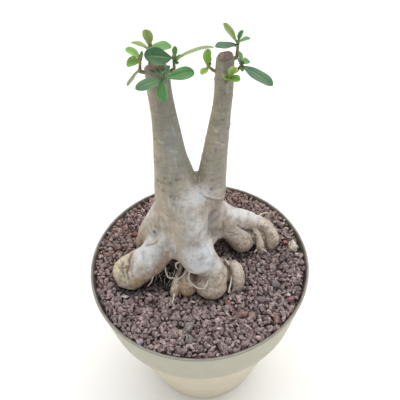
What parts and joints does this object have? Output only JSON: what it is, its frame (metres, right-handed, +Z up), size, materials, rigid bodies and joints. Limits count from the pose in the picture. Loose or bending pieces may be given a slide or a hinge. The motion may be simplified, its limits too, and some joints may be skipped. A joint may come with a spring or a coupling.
{
  "type": "potted desert rose",
  "caption": "Desert rose plant with a swollen forked trunk, fat exposed roots and young leafy shoots, in a tapered round pot filled with crushed stone.",
  "frame": {"origin": "middle of the pot's foot, on the surface that the pot stands on", "axes": "+Z up along the pot's axis; the front of the plant faces -Y and its two stems stand side by side along X"},
  "size_m": [0.19, 0.19, 0.3686],
  "materials": {
    "pot": "moulded, matt, beige green",
    "grit": "crushed lava, dry, reddish brown",
    "bark": "smooth living bark, satin, grey beige with fine rings",
    "leaf": "waxy leaf, semi-gloss"
  },
  "bodies": {
    "root": {"pot": "pot", "grit_bed": "grit", "caudex": "bark", "shoot_left_side": "leaf", "shoot_left_top": "leaf", "shoot_left_inner": "leaf", "shoot_left_front": "leaf", "shoot_right_top": "leaf", "shoot_right_outer": "leaf", "shoot_right_front": "leaf", "shoot_right_inner": "leaf"}
  },
  "joints": []
}
